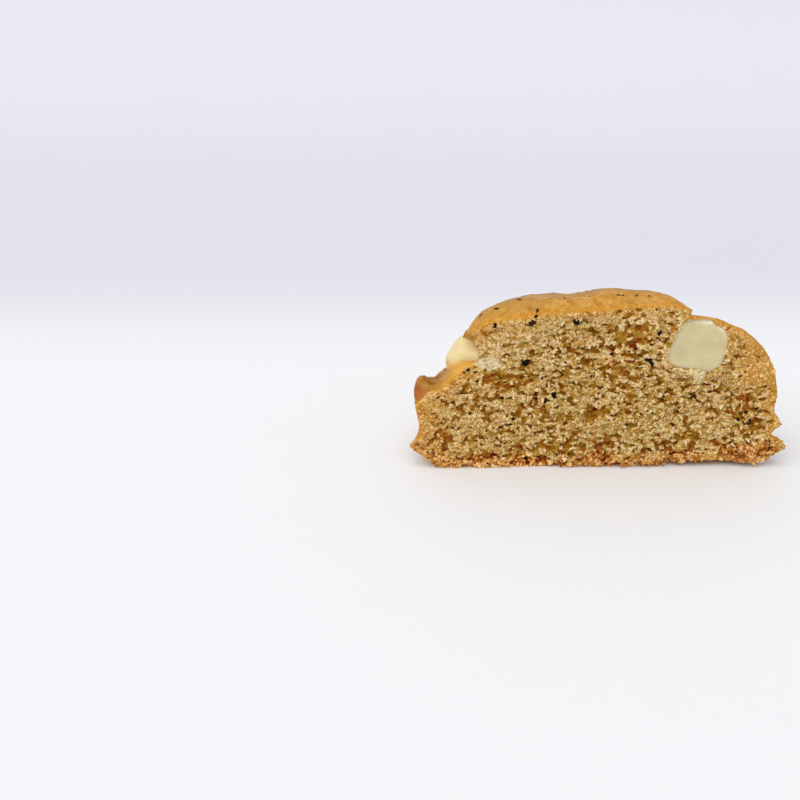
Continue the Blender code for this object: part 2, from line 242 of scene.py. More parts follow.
SPOT_BROWN = 0.55
SPOTS_TOP = (34.0, 26.0)  # heights over which the spots begin, from the top down
FOOT_BROWN = (0.3, 4.0)  # heights over which the brown foot fades
FOOT_START = (1.0, 4.0)  # distance behind the cut over which it begins
BROWN_BASE = (1.5, 4.6)  # heights over which the browned base fades into the crumb
BROWN_FOOT_RISE = 2.4
BROWN_UNEVEN = ((1.3, (3.0, 3.0, 2.0), 26), (0.6, (1.1, 1.1, 1.1), 27))
DOUGH_LOOKS = ("crust", "shade", "tone", "rim", "baked", "smear", "shoulder_shading", "brown", "stain")

# Flecks of tea leaf that the cut shows, as x, z, length and turn in degrees
CUT_FLECKS = (
    (-15.1, 33.6, 1.8, 60), (-14.7, 35.2, 1.0, 70), (-14.4, 36.2, 0.7, 40), (-5.9, 34.2, 1.9, -60),
    (-16.2, 24.7, 1.8, 30), (-9.7, 17.2, 1.8, 70), (10.4, 25.3, 2.2, -15), (11.8, 31.4, 1.0, 45),
    (12.1, 29.8, 1.0, 0), (7.2, 27.8, 0.7, 20), (20.9, 17.1, 1.7, 60), (33.6, 11.0, 1.3, 95),
    (-23.2, 32.9, 1.2, 50), (-21.0, 16.4, 0.8, 0), (-11.4, 15.7, 0.8, 30), (-27.9, 13.1, 0.7, 0),
    (-18.6, 11.7, 0.9, 20), (-19.0, 10.2, 0.8, -20), (2.2, 26.7, 0.9, 25), (-1.8, 21.7, 0.9, 0),
    (-7.8, 24.9, 1.1, 60), (31.3, 11.4, 0.9, 70), (33.1, 13.1, 1.0, 0), (35.1, 14.3, 1.0, 30),
    (-28.6, 23.2, 0.8, 25), (-29.5, 22.6, 0.5, 0),
)
LEAF_BITS = 5  # overlapping bits that make up every fleck
SMALL_FLECKS = 26  # scattered over the cut as well
CRUST_FLECKS = 110  # scattered over the crust
CAP_FLECKS = (  # on the cap's front edge: x, z and length
    (6.1, 39.5, 1.3), (1.8, 38.2, 0.7), (2.3, 38.9, 0.8), (3.2, 38.9, 0.8), (3.5, 38.2, 0.7),
    (2.6, 37.8, 0.6), (-8.9, 38.4, 1.3), (-3.6, 39.3, 1.0), (-23.4, 35.3, 1.4), (-26.0, 34.4, 1.2),
    (-12.0, 38.6, 0.6), (9.2, 37.6, 0.7), (13.0, 38.0, 0.6),
)

FLAKES = 12500  # loose flakes of crumb on the cut
BASE_FLAKES = 500  # and along its lower edge
FLAKE_SIZE = (0.27, 0.35)  # middle half width of a flake in millimetres, and its logarithmic spread
FLAKE_SHAPE = ((1.0, 0.45, 0.8), (1.7, 0.85, 1.3))  # least and greatest half widths, as shares
FLAKE_SHADE = (-0.06, 0.34)
TRIES = 6  # places drawn for every fleck or flake that is wanted; the cut's flakes take twice as many


def place_of_solids():
    """Where the design frame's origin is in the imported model, found from the sliced chunk's box."""
    low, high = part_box("chocolate_sliced")
    x = high.x - (CUT_CHUNK_CENTRE[0] + max(corner[0] for corner in CUT_CHUNK_OUTLINE)) * MM
    y = low.y + CUT_CHUNK_PROUD * MM
    return np.array((x, y, 0.0))


SHIFT = place_of_solids()


# ------------ small tools


def smoothstep(value, low, high):
    """0 below low, 1 above high and a smooth rise between them."""
    share = np.clip((value - low) / (high - low), 0.0, 1.0)
    return share * share * (3.0 - 2.0 * share)


def fade(distance, reach):
    """1 at no distance, falling smoothly to 0 at reach."""
    return np.maximum(0.0, 1.0 - distance / reach) ** 2


def falling(share, power):
    """Height of a superellipse at a share of its half width."""
    return max(0.0, 1.0 - share**power) ** (1.0 / power)


def smooth_max(first, second, width):
    """The larger of two distances, rounded where they are equal."""
    near = np.maximum(0.0, 1.0 - np.abs(first - second) / width)
    return np.maximum(first, second) + near * near * width / 4.0


LATTICE = 48  # lattice points of the noise each way before it repeats
LATTICE_SPREAD = 0.3317  # spread of cubic B-spline noise on a unit lattice


def lattice(seed):
    """Random values on a cube of points that repeats."""
    return np.random.default_rng(seed).standard_normal((LATTICE, LATTICE, LATTICE))


def spline_weights(share):
    """The four cubic B-spline weights at a share of the way between two lattice points."""
    return (
        (1 - share) ** 3 / 6,
        (3 * share**3 - 6 * share**2 + 4) / 6,
        (-3 * share**3 + 3 * share**2 + 3 * share + 1) / 6,
        share**3 / 6,
    )


def grid_noise(axes, height, spacing, seed):
    """Smooth noise with a spread of height on a whole grid, given by the coordinates along its three axes."""
    values = lattice(seed)
    for axis, (places, gap) in enumerate(zip(axes, spacing)):
        base = np.floor(places / gap).astype(int)
        matrix = np.zeros((len(places), LATTICE))
        rows = np.arange(len(places))
        for k, weight in enumerate(spline_weights(places / gap - base)):
            matrix[rows, (base + k) % LATTICE] += weight
        values = np.moveaxis(np.tensordot(matrix, values, axes=(1, axis)), 0, axis)
    return height * (values / LATTICE_SPREAD)


def point_noise(points, height, spacing, seed):
    """The same noise at loose points."""
    values = lattice(seed)
    scaled = points / np.asarray(spacing)
    base = np.floor(scaled).astype(int)
    weights = spline_weights(scaled - base)
    total = np.zeros(len(points))
    for i, j, k in np.ndindex(4, 4, 4):
        corner = (base + (i, j, k)) % LATTICE
        weight = weights[i][:, 0] * weights[j][:, 1] * weights[k][:, 2]
        total += weight * values[corner[:, 0], corner[:, 1], corner[:, 2]]
    return height * (total / LATTICE_SPREAD)


def lumps(x, y, z, spacing, seed):
    """Distance to the nearest of many scattered points, as a share of their spacing, and its random value."""
    rng = np.random.default_rng(seed)
    place = 0.5 + rng.uniform(-0.38, 0.38, (3, LATTICE, LATTICE, LATTICE))
    tone = rng.random((LATTICE, LATTICE, LATTICE))
    scaled = [values / gap for values, gap in zip((x, y, z), spacing)]
    base = [np.floor(values - 0.5).astype(np.int32) for values in scaled]
    nearest = np.full(x.shape, np.inf)
    value = np.zeros(x.shape)
    for corner in np.ndindex(2, 2, 2):
        cell = [first + step for first, step in zip(base, corner)]
        index = tuple(number % LATTICE for number in cell)
        gap = sum((cell[i] + place[i][index] - scaled[i]) ** 2 for i in range(3))
        nearer = gap < nearest
        nearest = np.where(nearer, gap, nearest)
        value = np.where(nearer, tone[index], value)
    return np.sqrt(nearest), value


def ellipsoid_field(place, centre, radii, power):
    """Roughly the distance to an ellipsoid, or to a squarer body of a higher power, negative inside."""
    size = sum(np.abs((place[i] - centre[i]) / radii[i]) ** power for i in range(3)) ** (1.0 / power)
    return (size - 1.0) * min(radii)


def bared(x, z):
    """How far a place on the cut face is inside the part where crust and chunk show instead of crumb."""
    return np.maximum(0.0, -polygon_distance(x, z, np.array(SIDE_CRUST)))


def fallen_back(inside, z):
    """How far the front of the loaf stands back at a distance inside that part."""
    slope, steeper = SIDE_CRUST_SLOPE
    cleft = smoothstep(z, *SIDE_CLEFT)
    reach = CLEFT_DEPTH - ROOF_FORWARD * smoothstep(z, *CLEFT_ROOF)
    return inside * (slope + steeper * inside) + cleft * np.minimum(reach, 9.0 * inside)


def spot_distance(points, centre, radii):
    """Distance from an ellipsoid's centre, as a share of its radii."""
    return np.sqrt((((points - centre) / radii) ** 2).sum(axis=1))


def spot(points, centre, radii):
    """1 in the middle of an ellipsoid spot, fading to 0 at its edge and beyond."""
    return 1.0 - smoothstep(spot_distance(points, centre, radii), 0.45, 1.0)


def vertex_normals(points, faces):
    """Smooth normals of a mesh of quads."""
    across = np.cross(points[faces[:, 2]] - points[faces[:, 0]], points[faces[:, 3]] - points[faces[:, 1]])
    total = np.zeros_like(points)
    for corner in range(4):
        for axis in range(3):
            total[:, axis] += np.bincount(faces[:, corner], across[:, axis], len(points))
    return total / (np.linalg.norm(total, axis=1)[:, None] + 1e-12)


def add_object(name, data):
    """A new object in the scene."""
    obj = bpy.data.objects.new(name, data)
    bpy.context.scene.collection.objects.link(obj)
    return obj


def make_mesh(name, points, faces, look=None, smooth=True):
    """An object from points in design millimetres, with named values at its points."""
    mesh = bpy.data.meshes.new(name)
    mesh.from_pydata((points * MM + SHIFT).tolist(), [], faces.tolist())
    mesh.update()
    for key, values in (look or {}).items():
        layer = mesh.attributes.new(key, "FLOAT", "POINT")
        layer.data.foreach_set("value", np.asarray(values, np.float32))
    mesh.polygons.foreach_set("use_smooth", [smooth] * len(mesh.polygons))
    return add_object(name, mesh)


def read_vectors(vertices, key):
    """A vector of every vertex of a mesh, such as its place or its normal."""
    values = np.zeros(len(vertices) * 3)
    vertices.foreach_get(key, values)
    return values.reshape(-1, 3)


def split_mesh(name, points, faces, look, count):
    """Makes a wide mesh as several pieces from left to right, shaded as one."""
    normals = vertex_normals(points, faces)
    order = np.argsort(points[faces].mean(axis=1)[:, 0], kind="stable")
    pieces = []
    for number, chosen in enumerate(np.array_split(order, count)):
        used, own = np.unique(faces[chosen], return_inverse=True)
        values = {key: value[used] for key, value in look.items()}
        piece = make_mesh(f"{name}_{number + 1}", points[used], own.reshape(-1, 4), values)
        piece.data.normals_split_custom_set_from_vertices(normals[used].tolist())
        pieces.append(piece)
    return pieces


# ------------ surfaces drawn through a grid


def moved_up(values, cells):
    """Values on the grid, each column read a number of cells higher up."""
    height = np.arange(values.shape[2])[None, None, :] + cells
    base = np.clip(np.floor(height).astype(int), 0, values.shape[2] - 2)
    share = np.clip(height - base, 0.0, 1.0)
    base = np.broadcast_to(base, values.shape)
    lower = np.take_along_axis(values, base, axis=2)
    upper = np.take_along_axis(values, base + 1, axis=2)
    return lower + (upper - lower) * share


def reached(free, start):
    """Which free grid points can be reached from the free ones on one slice across y."""
    found = np.zeros_like(free)
    found[:, start, :] = free[:, start, :]
    count = 0
    while found.sum() != count:
        count = found.sum()
        for axis in range(3):
            spread, room = np.moveaxis(found, axis, 0), np.moveaxis(free, axis, 0)
            spread[1:] |= spread[:-1] & room[1:]
            spread[:-1] |= spread[1:] & room[:-1]
    return found


def box_blur(values, cells):
    """Mean of the values in a cube round every grid point."""
    for axis in range(3):
        padded = np.pad(values, [(cells + 1, cells) if i == axis else (0, 0) for i in range(3)], mode="edge")
        sums = np.cumsum(padded, axis=axis)
        count = values.shape[axis]
        upper = np.take(sums, np.arange(2 * cells + 1, 2 * cells + 1 + count), axis=axis)
        lower = np.take(sums, np.arange(count), axis=axis)
        values = (upper - lower) / (2 * cells + 1)
    return values


def axes_across(axis):
    """The two axes across one."""
    return [i for i in range(3) if i != axis]


def corner_values(field, offset):
    """A field's values at one corner of every cell of its grid."""
    return field[tuple(slice(o, o + n - 1) for o, n in zip(offset, field.shape))]


def net_points(field, axes):
    """A point in every cell in which a field on a grid changes sign, between the places where it does."""
    step = axes[0][1] - axes[0][0]
    shape = [n - 1 for n in field.shape]
    count = np.zeros(shape)
    total = np.zeros(shape + [3])
    for axis in range(3):
        first, second = axes_across(axis)
        for a, b in np.ndindex(2, 2):
            offset = [0, 0, 0]
            offset[first], offset[second] = a, b
            start = corner_values(field, offset)
            offset[axis] = 1
            end = corner_values(field, offset)
            crossing = (start < 0) != (end < 0)
            count += crossing
            total[..., axis] += np.where(crossing, start / np.where(crossing, start - end, 1.0), 0.0)
            total[..., first] += a * crossing
            total[..., second] += b * crossing
    active = count > 0
    cell = np.argwhere(active)
    origin = np.array([axis[0] for axis in axes])
    return origin + step * (cell + total[active] / count[active][:, None]), cell


def net_quads(field, cell):
    """Quads that join those points round every grid edge on which the field changes sign."""
    number = np.full([n - 1 for n in field.shape], -1)
    number[tuple(cell.T)] = np.arange(len(cell))
    quads = []
    for axis in range(3):
        inner = [slice(1, -1)] * 3
        inner[axis] = slice(0, -1)
        start = field[tuple(inner)]
        inner[axis] = slice(1, None)
        end = field[tuple(inner)]
        edges = np.argwhere((start < 0) != (end < 0))
        ring = []
        for offset in ((0, 0), (1, 0), (1, 1), (0, 1)):
            place = edges.copy()
            place[:, axes_across(axis)] += offset
            ring.append(number[tuple(place.T)])
        quad = np.stack(ring, axis=1)
        leaving = start[tuple(edges.T)] < 0
        kept = leaving if axis != 1 else ~leaving
        quad[~kept] = quad[~kept][:, ::-1]
        quads.append(quad)
    return np.concatenate(quads)


def surface_nets(field, axes):
    """The surface where a field on a grid changes sign: its points, quads and the cell of each point."""
    points, cell = net_points(field, axes)
    return points, net_quads(field, cell), cell


# ------------ the loaf's form


def spline(points, corners, steps):
    """Samples a closed smooth curve through points, with no rounding at the corners."""
    ahead = np.roll(points, -1, axis=0)
    behind = np.roll(points, 1, axis=0)
    chord = np.linalg.norm(ahead - points, axis=1)[:, None]
    slope = (ahead - behind) / (chord + np.roll(chord, 1, axis=0))
    slope[corners] = 0.0
    t = (np.arange(steps) / steps)[None, :, None]
    start, end = points[:, None], ahead[:, None]
    leave, arrive = (slope * chord)[:, None], (np.roll(slope, -1, axis=0) * chord)[:, None]
    curve = (
        start * (2 * t**3 - 3 * t**2 + 1)
        + leave * (t**3 - 2 * t**2 + t)
        + end * (3 * t**2 - 2 * t**3)
        + arrive * (t**3 - t**2)
    )
    return curve.reshape(-1, 2)


KNOTS = np.array([knot[:5] for knot in OUTLINE], float)
CORNERS = np.array([knot[5] for knot in OUTLINE])


def section(y):
    """The closed outline of the scone at a distance behind the cut, as (x, z) points."""
    places = KNOTS[:, :2] - KNOTS[:, 3:5] * (1 - fade(y, FEATURE_REACH))
    inward = np.array((0.0, WAIST)) - places
    inward /= np.linalg.norm(inward, axis=1)[:, None]
    places = places + inward * KNOTS[:, 2:3] * fade(y, SHOULDER)
    outline = spline(places, CORNERS, SPAN_STEPS)
    share = y / DEPTH
    x = outline[:, 0] * falling(share, PLAN_POWER)
    squash = np.where(outline[:, 1] < WAIST, falling(share, UNDER_POWER), falling(share, DOME_POWER))
    return np.stack((x, WAIST + (outline[:, 1] - WAIST) * squash), axis=1)


def polygon_distance(x, z, outline):
    """Signed distance from points to a closed outline, negative inside."""
    nearest = np.full(x.shape, 1e9)
    inside = np.zeros(x.shape, bool)
    for (ax, az), (bx, bz) in zip(outline, np.roll(outline, -1, axis=0)):
        dx, dz = bx - ax, bz - az
        along = np.clip(((x - ax) * dx + (z - az) * dz) / (dx * dx + dz * dz + 1e-12), 0.0, 1.0)
        nearest = np.minimum(nearest, (x - ax - along * dx) ** 2 + (z - az - along * dz) ** 2)
        if az != bz:
            crosses = (az > z) != (bz > z)
            inside ^= crosses & (x < dx * (z - az) / dz + ax)
    return np.where(inside, -1.0, 1.0) * np.sqrt(nearest)


def outward(points):
    """Unit directions out of the loaf, as on an ellipsoid round its middle."""
    way = (points - (0.0, 0.0, WAIST)) / (HALF_WIDTH**2, DEPTH**2, (TOP - WAIST) ** 2)
    return way / (np.linalg.norm(way, axis=1)[:, None] + 1e-9)


def add_crust_relief(points, crust):
    """Moves skin points in and out by the crust's relief, where they are crust."""
    behind = np.maximum(0.0, points[:, 1])
    swell = point_noise(points, *CRUST_SWELL) * (1 - fade(behind, SWELL_START))
    fine = point_noise(points, *CRUST_DIMPLE) + point_noise(points, *CRUST_GRAIN)
    upper = smoothstep(points[:, 2], *RELIEF_FOOT)
    dent = DENT_DEPTH * spot(points, *DENT)
    return points + outward(points) * (upper * (swell + fine * crust) - dent)[:, None]


def bake(points):
    """Colour masks: golden by the cut and brown on the lip as painted shading, brown spots and foot, soaked
    by the chunk.
    """
    y, z = points[:, 1], points[:, 2]
    wander = point_noise(points, *BAKE_WANDER)
    blotch = point_noise(points, *BAKE_BLOTCH)
    start, end, spread = GOLD_REACH
    # painted shading: the pressed shoulder of crust near the cut is golden
    shoulder_shading = (1.0 - smoothstep(y, start, end + spread * wander)) * smoothstep(z, *GOLD_RISE)
    # painted shadow: the fold of crust at the lip is darkened brown
    lip_shadow = LIP_SHADOW * (1.0 - smoothstep(spot_distance(points, *LIP) + 0.2 * blotch, *LIP_FADE))
    in_spots = SPOT_BROWN * smoothstep(wander + 0.35 * blotch, *BROWN_SPOTS) * smoothstep(z, *SPOTS_TOP)
    at_foot = (1.0 - smoothstep(z + 0.7 * wander, *FOOT_BROWN)) * smoothstep(y, *FOOT_START)
    return {
        "shoulder_shading": shoulder_shading * np.clip(GOLD_SHARE[0] + GOLD_SHARE[1] * wander, 0.0, 1.0),
        "brown": np.maximum(np.maximum(lip_shadow, in_spots), at_foot),
        "stain": spot(points, *STAIN),
    }


def dough_look(count, **values):
    """The dough's named values at a count of points, 0 where they aren't given."""
    return {key: np.broadcast_to(values.get(key, 0.0), count) for key in DOUGH_LOOKS}


# ------------ the torn crumb


def skin_field(axes):
    """Distance to the loaf's outline on every slice of the grid, negative inside."""
    x, z = np.meshgrid(axes[0], axes[2], indexing="ij")
    front = polygon_distance(x, z, section(0.0))
    slices = [front if y <= 0.0 else polygon_distance(x, z, section(y)) for y in axes[1]]
    return np.stack(slices, axis=1)


def cut_chunk_outline(steps=4):
    """The sliced chunk's rounded outline in the cut plane."""
    corners = np.array(CUT_CHUNK_OUTLINE) + CUT_CHUNK_CENTRE
    return spline(corners, np.zeros(len(corners), bool), steps)


def at_sides(x, z):
    """1 near the loaf's walls and left end, where the crumb is dense and toasted, and 0 in the middle."""
    higher, run = SIDES_FOOT
    return smoothstep(np.abs(x), *SIDES) * smoothstep(z - higher * np.sign(x), 0.0, run)


def patches(x, z, places, core):
    """1 in the core of oval patches on the cut face, fading to 0 beyond their edges."""
    amount = np.zeros_like(x)
    for centre, radii in places:
        size = np.hypot((x - centre[0]) / radii[0], (z - centre[1]) / radii[1])
        amount = np.maximum(amount, 1.0 - smoothstep(size, core, PATCH_END))
    return amount


def toasted(x, z, skin):
    """How toasted the crumb is at a place on the cut face, from its distance to the crust."""
    near = np.exp(np.minimum(skin, 0.0) / (TOAST_DEPTH[0] + TOAST_DEPTH[1] * at_sides(x, z)))
    return np.maximum(near, TOAST_PATCH * patches(x, z, TOASTED, EVEN))


def baked(points):
    """How brown the crumb is near the base, at points on the cut face."""
    x, _, z = points.T
    height = z - BROWN_FOOT_RISE * patches(x, z, BROWN_FOOT, 0.4)
    height += sum(point_noise(points, *noise) for noise in BROWN_UNEVEN)
    return 1.0 - smoothstep(height, *BROWN_BASE)


class Slab:
    """The torn crumb behind the cut, as values on a grid, from which its skin and its looks are drawn."""

    def __init__(self):
        self.axes = [np.arange(low, high, CELL) for low, high in (SLAB_X, SLAB_Y, SLAB_Z)]
        self.flat_axes = [self.axes[0], np.array([0.0]), self.axes[2]]
        self.x, self.y, self.z = np.meshgrid(*self.axes, indexing="ij")
        self.flat_x, self.flat_z = self.x[:, :1, :], self.z[:, :1, :]
        self.skin = skin_field(self.axes)
        self.chunk = polygon_distance(self.flat_x, self.flat_z, cut_chunk_outline())
        self.find_calm()
        self.find_sponge()
        self.find_bare()
        self.find_front()
        ragged = self.ragged_wall()
        dive = SLAB_DIVE[2] * smoothstep(self.y, *SLAB_DIVE[:2]) * (1 - self.bare * (1 - self.cleft))
        rounding = CUT_ROUND[0] + CUT_ROUND[1] * self.bare * (1 - self.cleft)
        field = smooth_max(self.skin + ragged + dive, -self.behind, rounding)
        field = smooth_max(field, self.cavity() * 0.5, 0.15)
        field = np.maximum(field, -self.before_chunk())
        self.field = self.in_one_piece(np.maximum(field, -self.z))

    def find_calm(self):
        """Where the crumb is denser or smoother: under the crust, in patches and where chocolate melted."""
        x, z = self.flat_x, self.flat_z
        rim_width = DENSE_RIM[0] + (DENSE_RIM[1] - DENSE_RIM[0]) * at_sides(x, z)
        rim = (1.0 - smoothstep(-self.skin, SOLID_SKIN, rim_width)) * smoothstep(self.z, *RIM_FOOT)
        dense = DENSE_CALM * patches(x, z, DENSE, SOFT)
        self.smear = patches(x, z, SMEARS, FIRM)
        self.flap = patches(x, z, FLAP, FIRM)
        self.band = self.flap * (1.0 - smoothstep(-self.skin, *BAND))
        self.calm = np.maximum(np.maximum(rim, self.smear), np.maximum(dense, self.band))

    def find_sponge(self):
        """The noise that hollows the crumb in wavy layers, and the clumps and grains on it."""
        strata = grid_noise(self.flat_axes, *STRATA)
        sponge = sum(grid_noise(self.axes, *noise) for noise in SPONGE)
        sponge = moved_up(sponge, strata / CELL)
        self.sponge = np.minimum(sponge, SPONGE_TOP[0] - SPONGE_TOP[1] * self.calm)
        # painted shade: how far into a hollow the crumb is, which darkens its colour
        self.hollow = smoothstep(self.sponge - HOLLOW_SHADE_CALM * self.calm, *HOLLOW_SHADE)
        self.clump, self.tone = lumps(self.x, self.y, self.z + strata, *CLUMPS)
        self.grain, self.grain_tone = lumps(self.x, self.y, self.z + strata, *GRAINS)

    def find_bare(self):
        """Where crust or the side chunk shows instead of crumb, and how far the front falls back there."""
        inside = bared(self.flat_x, self.flat_z)
        inside *= 1.0 + grid_noise(self.flat_axes, *BARE_WANDER)
        self.bare = smoothstep(inside, 0.0, BARE_EDGE)
        self.cleft = smoothstep(self.flat_z, *SIDE_CLEFT)
        uneven = np.maximum(0.0, inside + 0.6 * self.cleft * (self.clump - 0.5))
        self.fallen = fallen_back(np.where(inside > 0.0, uneven, 0.0), self.flat_z)

    def find_front(self):
        """How far every point is behind the torn front of the crumb."""
        collar = 1.0 - smoothstep(np.abs(self.chunk - 0.2), *COLLAR)
        rough = HOLLOW_DEPTH * smoothstep(self.sponge - HOLLOW_CALM * self.calm, *HOLLOWS)
        clump = CLUMP_HEIGHT[0] * self.clump * (1 - CLUMP_HEIGHT[1] * self.calm)
        rough += clump + GRAIN_HEIGHT[0] * self.grain * (1 - GRAIN_HEIGHT[1] * self.calm)
        rough *= (1.0 - COLLAR_SMOOTH * collar) * (1.0 - BAND_SMOOTH * self.band)
        self.slow = grid_noise(self.flat_axes, *TEAR) - PROUD - COLLAR_PROUD * collar
        level = self.y - self.fallen - self.slow * (1 - self.bare)
        self.behind = level - rough * (1 - self.bare * (1 - self.cleft))

    def ragged_wall(self):
        """How far in or out the lumps at the torn edge of the wall are."""
        below = np.maximum(1.0 - smoothstep(self.z, *TORN_BELOW), patches(self.x, self.z, TORN_WALL, SOFT))
        self.low = below * np.clip(0.8 + grid_noise(self.flat_axes, *TORN_UNEVEN), 0.1, 1.4)
        reach = 1.0 - smoothstep(self.y, 0.6 + 1.2 * self.low, 2.0 + 1.2 * self.low)
        height = (TORN_EDGE[0] + TORN_EDGE[1] * self.low) * reach
        height *= 0.45 + 0.55 * smoothstep(self.z, 1.0, 3.0)
        return height * (self.clump + 0.5 * self.grain - 0.75) * (1 - self.bare) * (1 - 0.7 * self.flap)

    def cavity(self):
        """Above 0 in the deep slots and pits of the crumb, which don't reach into the crust itself."""
        pits = BASE_PITS[0] * (1.0 - smoothstep(self.z, *BASE_PITS[1:]))
        cavity = self.sponge + pits - SLOTS[0] - SLOT_CALM * np.maximum(self.calm, self.bare)
        cavity = cavity - SLOTS[1] * np.maximum(0.0, self.behind)
        in_skin = 1.0 - smoothstep(-self.skin, 0.05, SOLID_SKIN)
        return cavity - 3.0 * in_skin * smoothstep(self.behind, 0.5, 1.2)

    def before_chunk(self):
        """Below 0 in front of the sliced chunk, up to where clumps of crumb lap over its edge."""
        chipped = smoothstep(self.flat_z + CHIP_SLOPE * self.flat_x, *CHIPPED)
        lap = LAP[0] - LAP[1] * (self.clump + 0.5 * self.grain) * (1 - 0.9 * chipped) - 1.0 * chipped
        return np.maximum(self.chunk + lap, self.y - CLEARED)

    def in_one_piece(self, field):
        """The field without specks that hang free and without closed bubbles."""
        air = reached(field > 0.0, 0)
        solid = reached(~air, -1)
        return np.where(solid, np.minimum(field, -SURE), np.maximum(field, SURE))

    def at(self, name, cell):
        """One of these values in cells of the grid."""
        return np.broadcast_to(getattr(self, name), self.field.shape)[tuple(cell.T)]

    def front_at(self, x, z):
        """How far back the crumb's surface is at loose (x, z), seen from the front."""
        solid = self.field < 0.0
        first = self.axes[1][np.argmax(solid, axis=1)] - 0.5 * CELL
        depth = np.where(solid.any(axis=1), first, 99.0)
        i = np.clip(np.round((x - self.axes[0][0]) / CELL).astype(int), 0, len(self.axes[0]) - 1)
        k = np.clip(np.round((z - self.axes[2][0]) / CELL).astype(int), 0, len(self.axes[2]) - 1)
        return depth[i, k]


def crumb_crust(slab, points, cell):
    """How much of the slab is crust: the skin behind its torn edge, and where crust shows, not crumb."""
    x, y, z = points.T
    behind_tear = smoothstep(y - 2.0 * slab.at("low", cell), 0.5, 1.1)
    crust = smoothstep(slab.at("skin", cell), -0.6, -0.25) * behind_tear
    cliff = smoothstep(z, *SIDE_CLEFT) * (1.0 - smoothstep(z, *CLIFF_TOP))
    crust *= 1.0 - cliff * (x < CLIFF_RIGHT)
    slope = slab.at("bare", cell) * (1 - slab.at("cleft", cell))
    return np.maximum(crust, np.maximum(slope, 0.3 * slab.at("band", cell)))


def crumb_shade(slab, points, cell):
    """How dark the crumb is, as painted shade: more so the deeper, the more hollow and the more hemmed in it
    is.
    """
    solid = (slab.field < 0.0).astype(float)
    hollow = slab.at("hollow", cell)
    clump, grain = slab.at("clump", cell) - 0.45, slab.at("grain", cell) - 0.42
    depth = np.maximum(0.0, points[:, 1] - slab.at("slow", cell))
    # painted shade: darker in hollows, in the crevices between lumps and grains, and deep in
    shade = SHADE["base"] + SHADE["hollow"] * hollow + SHADE["grain"] * grain * (1.0 - 0.4 * hollow)
    shade += SHADE["clump"] * clump * (1.0 - 0.4 * hollow) + SHADE["depth"] * np.clip(depth - 1.5, 0.0, 1.6)
    # painted shade where solid crumb closes round a point, near by and in a wider round
    close, wide = (box_blur(solid, cells)[tuple(cell.T)] - 0.5 for cells in BLURS)
    tone = slab.at("grain_tone", cell) - 0.5
    shade += SHADE["close"] * close + SHADE["wide"] * wide + SHADE["tone"] * tone
    # painted light: paler crumb in the dense patches at the top left and under the cap
    shade += SHADE["pale"] * patches(points[:, 0], points[:, 2], PALE_DENSE, EVEN)
    edge = smoothstep(-slab.at("skin", cell), 0.1, 1.2)
    return shade * edge + SHADE["edge"] * (1.0 - edge)


def crumb_slab(slab):
    """The front of the loaf: open crumb at the cut face and the strip of crust round it."""
    points, quads, cell = surface_nets(slab.field, slab.axes)
    crust = crumb_crust(slab, points, cell)
    shade = crumb_shade(slab, points, cell)
    points = add_crust_relief(points, crust)
    look = dough_look(
        len(points), crust=crust, shade=shade, tone=slab.at("tone", cell),
        rim=toasted(points[:, 0], points[:, 2], slab.at("skin", cell)), baked=baked(points),
        smear=np.maximum(slab.at("smear", cell), 0.35 * slab.at("band", cell)), **bake(points),
    )
    return split_mesh("crumb", points, quads, look, SLAB_PARTS)


# ------------ the crust behind it


def loft():
    """The plain loaf as a closed skin: sections joined, closed by the cut face and by a point at the back."""
    shoulder = [SHOULDER * k / SHOULDER_RINGS for k in range(SHOULDER_RINGS)]
    start = math.asin(SHOULDER / DEPTH)
    turns = [start + (math.pi / 2 - start) * k / DOME_RINGS for k in range(DOME_RINGS)]
    places = shoulder + [DEPTH * math.sin(turn) for turn in turns]
    rings = []
    for y in places:
        ring = section(max(y, BODY_FRONT))
        rings.append(np.stack((ring[:, 0], np.full(len(ring), y), ring[:, 1]), axis=1))
    points = np.concatenate(rings + [((0.0, DEPTH, WAIST), (0.0, 0.0, WAIST))])
    size = len(rings[0])
    i = np.arange(size)
    j = (i + 1) % size
    faces = []
    for k in range(len(rings) - 1):
        faces.append(np.stack((k * size + i, k * size + j, (k + 1) * size + j, (k + 1) * size + i), axis=1))
    last = (len(rings) - 1) * size
    pole, heart = len(points) - 2, len(points) - 1
    caps = [np.stack((last + i, last + j, np.full(size, pole)), axis=1)]
    caps.append(np.stack((j, i, np.full(size, heart)), axis=1))
    return points, np.concatenate(faces).tolist() + np.concatenate(caps).tolist()


def even_quads(points, faces, voxel):
    """A closed mesh drawn again in even quads: its points, their normals and the quads."""
    mesh = bpy.data.meshes.new("rough")
    mesh.from_pydata((points * MM).tolist(), [], faces)
    obj = add_object("rough", mesh)
    even = obj.modifiers.new("even faces", "REMESH")
    even.mode = "VOXEL"
    even.voxel_size = voxel * MM
    bpy.context.view_layer.update()
    fine = obj.evaluated_get(bpy.context.evaluated_depsgraph_get()).to_mesh()
    points = read_vectors(fine.vertices, "co") / MM
    normals = read_vectors(fine.vertices, "normal")
    quads = np.zeros(len(fine.loops), int)
    fine.loops.foreach_get("vertex_index", quads)
    bpy.data.objects.remove(obj)
    return points, normals, quads.reshape(-1, 4)


